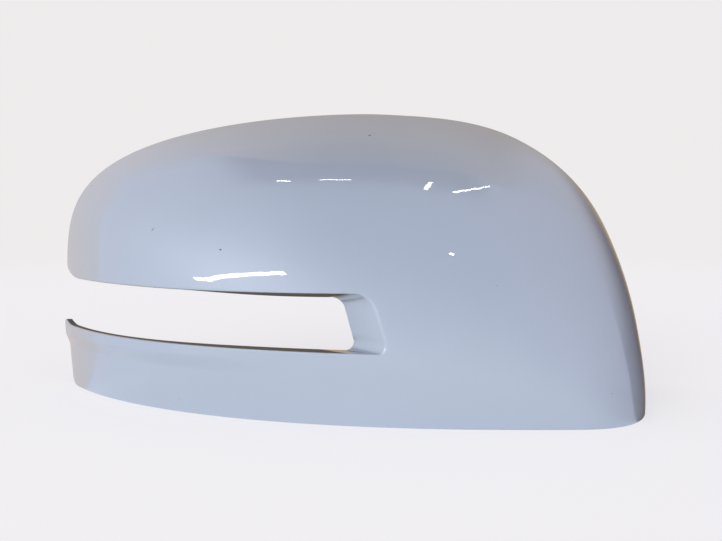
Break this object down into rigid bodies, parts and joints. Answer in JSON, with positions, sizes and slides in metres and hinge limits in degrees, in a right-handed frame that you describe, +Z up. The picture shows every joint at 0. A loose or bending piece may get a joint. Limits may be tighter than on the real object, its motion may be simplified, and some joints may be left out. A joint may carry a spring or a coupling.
{
  "type": "wing mirror trim",
  "caption": "Painted outer cover of a car's right-hand wing mirror, a thin bulged shell with an open slot for a side lamp, snap hooks and locating pegs inside.",
  "frame": {"origin": "on the floor under the middle of the cover, which stands on its flat bottom edge", "axes": "+X points inboard to the car door, -Y is the way the car drives and the face looks, +Z is up"},
  "size_m": [0.2506, 0.075, 0.1203],
  "materials": {
    "paint": "gloss"
  },
  "bodies": {
    "root": {"mirror_cap": "paint"}
  },
  "joints": []
}
